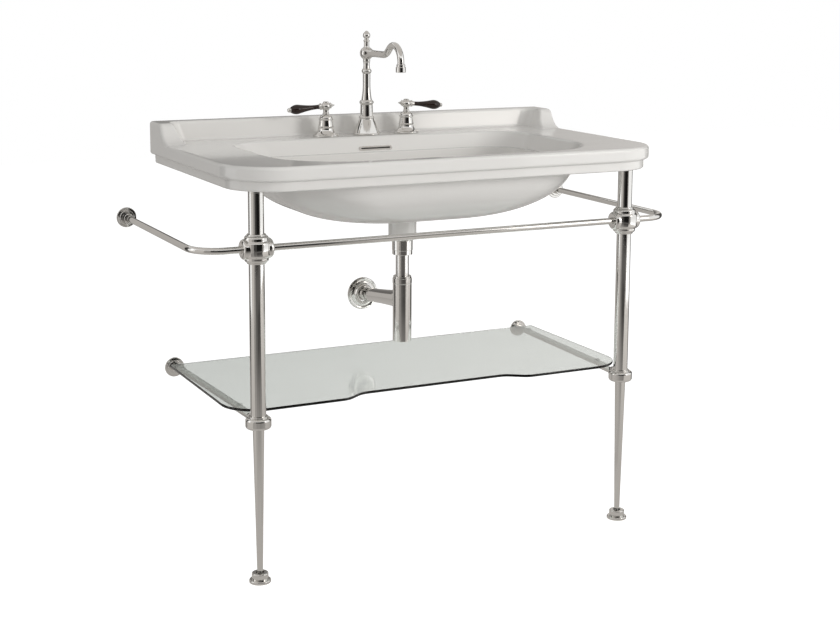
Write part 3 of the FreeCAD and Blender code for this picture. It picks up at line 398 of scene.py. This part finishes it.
def seenDirectly(tree):  # 1 for what the camera, a mirror or glass looks at, 0 for the soft light
    path = addNode(tree, "ShaderNodeLightPath")
    cameraOrGloss = addNode(tree, "ShaderNodeMath", operation="MAXIMUM")
    orGlass = addNode(tree, "ShaderNodeMath", operation="MAXIMUM")
    tree.links.new(path.outputs["Is Camera Ray"], cameraOrGloss.inputs[0])
    tree.links.new(path.outputs["Is Glossy Ray"], cameraOrGloss.inputs[1])
    tree.links.new(cameraOrGloss.outputs[0], orGlass.inputs[0])
    tree.links.new(path.outputs["Is Transmission Ray"], orGlass.inputs[1])
    return orGlass.outputs[0]


def makeFloor():
    mesh = bmesh.new()
    bmesh.ops.create_grid(mesh, x_segments=2, y_segments=2, size=studio["floorSize"] / 2)
    floor = placeMesh("floor", mesh)
    material, tree, shader = newMaterial("floor_paper")
    shader.inputs["Base Color"].default_value = (studio["floorTone"],) * 3 + (1,)
    shader.inputs["Roughness"].default_value = studio["floorRoughness"]
    shader.inputs["Specular IOR Level"].default_value = 0
    shader.inputs["Emission Color"].default_value = (1, 1, 1, 1)
    lift = addNode(tree, "ShaderNodeMath", operation="MULTIPLY")
    lift.inputs[1].default_value = studio["floorLift"]
    tree.links.new(seenDirectly(tree), lift.inputs[0])
    tree.links.new(lift.outputs[0], shader.inputs["Emission Strength"])
    floor.data.materials.append(material)


def makeWorld():
    world = bpy.data.worlds.new("white_room")
    scene.world = world
    world.use_nodes = True
    tree = world.node_tree
    tree.nodes.clear()
    output = tree.nodes.new("ShaderNodeOutputWorld")
    sky = addNode(tree, "ShaderNodeBackground")
    sky.inputs["Color"].default_value = (1, 1, 1, 1)
    level = addNode(tree, "ShaderNodeMapRange")
    level.inputs["To Min"].default_value = studio["fill"]
    level.inputs["To Max"].default_value = 1.0
    tree.links.new(seenDirectly(tree), level.inputs["Value"])
    tree.links.new(level.outputs["Result"], sky.inputs["Strength"])
    tree.links.new(sky.outputs["Background"], output.inputs["Surface"])


def arcAround(start, end, radius, height):
    angles = [math.radians(view["yaw"] - start - (end - start) * step / studio["screenSteps"])
              for step in range(studio["screenSteps"] + 1)]
    return [(-math.sin(angle) * radius, -math.cos(angle) * radius, height) for angle in angles]


def makeScreen(name, near, far, firstTone, lastTone, fade):
    mesh = bmesh.new()
    rows = [[mesh.verts.new(place) for place in pair] for pair in zip(near, far)]
    for first, second in zip(rows, rows[1:]):
        mesh.faces.new((first[0], second[0], second[1], first[1]))
    screen = placeMesh(name, mesh)
    material, tree, shader = newMaterial(name + "_cloth")
    shader.inputs["Base Color"].default_value = (0, 0, 0, 1)
    shader.inputs["Specular IOR Level"].default_value = 0
    shader.inputs["Emission Color"].default_value = (*studio["screenWarmth"], 1)
    shader.inputs["Emission Strength"].default_value = firstTone
    if lastTone != firstTone:
        coords = addNode(tree, "ShaderNodeTexCoord")
        if fade == "rugFade":
            along = addNode(tree, "ShaderNodeVectorMath", operation="LENGTH")
            distance = along.outputs["Value"]
        else:
            along = addNode(tree, "ShaderNodeSeparateXYZ")
            distance = along.outputs["X"]
        tone = addNode(tree, "ShaderNodeMapRange")
        tone.inputs["From Min"].default_value, tone.inputs["From Max"].default_value = studio[fade]
        tone.inputs["To Min"].default_value = firstTone
        tone.inputs["To Max"].default_value = lastTone
        tree.links.new(coords.outputs["Object"], along.inputs[0])
        tree.links.new(distance, tone.inputs["Value"])
        tree.links.new(tone.outputs["Result"], shader.inputs["Emission Strength"])
    screen.data.materials.append(material)
    screen.visible_camera = False
    screen.visible_diffuse = False
    screen.visible_shadow = False
    screen.visible_transmission = False


def makeScreens():
    radius = studio["wallRadius"]
    for name, (start, end, foot, top, leftTone, rightTone) in standingScreens.items():
        makeScreen(name, arcAround(start, end, radius, foot), arcAround(start, end, radius, top),
                   leftTone, rightTone, "wallFade")
    for name, (start, end, inner, outer, height, nearTone, farTone) in flatScreens.items():
        makeScreen(name, arcAround(start, end, inner, height), arcAround(start, end, outer, height),
                   nearTone, farTone, "rugFade")


def makeLamp(name, look):
    data = bpy.data.lights.new(name, "AREA")
    data.shape = "SQUARE"
    data.size = look["size"]
    data.energy = look["power"]
    lamp = bpy.data.objects.new(name, data)
    scene.collection.objects.link(lamp)
    lamp.location = look["place"]
    aim = Vector(look["aim"]) - Vector(look["place"])
    lamp.rotation_euler = aim.to_track_quat("-Z", "Y").to_euler()
    lamp.visible_camera = False
    lamp.visible_glossy = False


def makeCamera():
    yaw, pitch, roll = (math.radians(view[key]) for key in ("yaw", "pitch", "roll"))
    ahead = Vector((math.sin(yaw) * math.cos(pitch), math.cos(yaw) * math.cos(pitch), math.sin(pitch)))
    right = Vector((math.cos(yaw), -math.sin(yaw), 0))
    up = right.cross(ahead)
    rolledRight = math.cos(roll) * right + math.sin(roll) * up
    rolledUp = math.cos(roll) * up - math.sin(roll) * right
    turn = Matrix((rolledRight, rolledUp, -ahead)).transposed()
    data = bpy.data.cameras.new("camera")
    data.sensor_width = view["sensor"]
    data.lens = view["lens"]
    data.shift_x = view["shiftX"]
    data.shift_y = view["shiftY"]
    camera = bpy.data.objects.new("camera", data)
    scene.collection.objects.link(camera)
    camera.matrix_world = Matrix.Translation(Vector(view["place"])) @ turn.to_4x4()
    scene.camera = camera


makeFloor()
makeWorld()
makeScreens()
for name, look in lamps.items():
    makeLamp(name, look)
makeCamera()
scene.view_settings.view_transform = "Standard"
print("studio set")

bpy.context.view_layer.update()
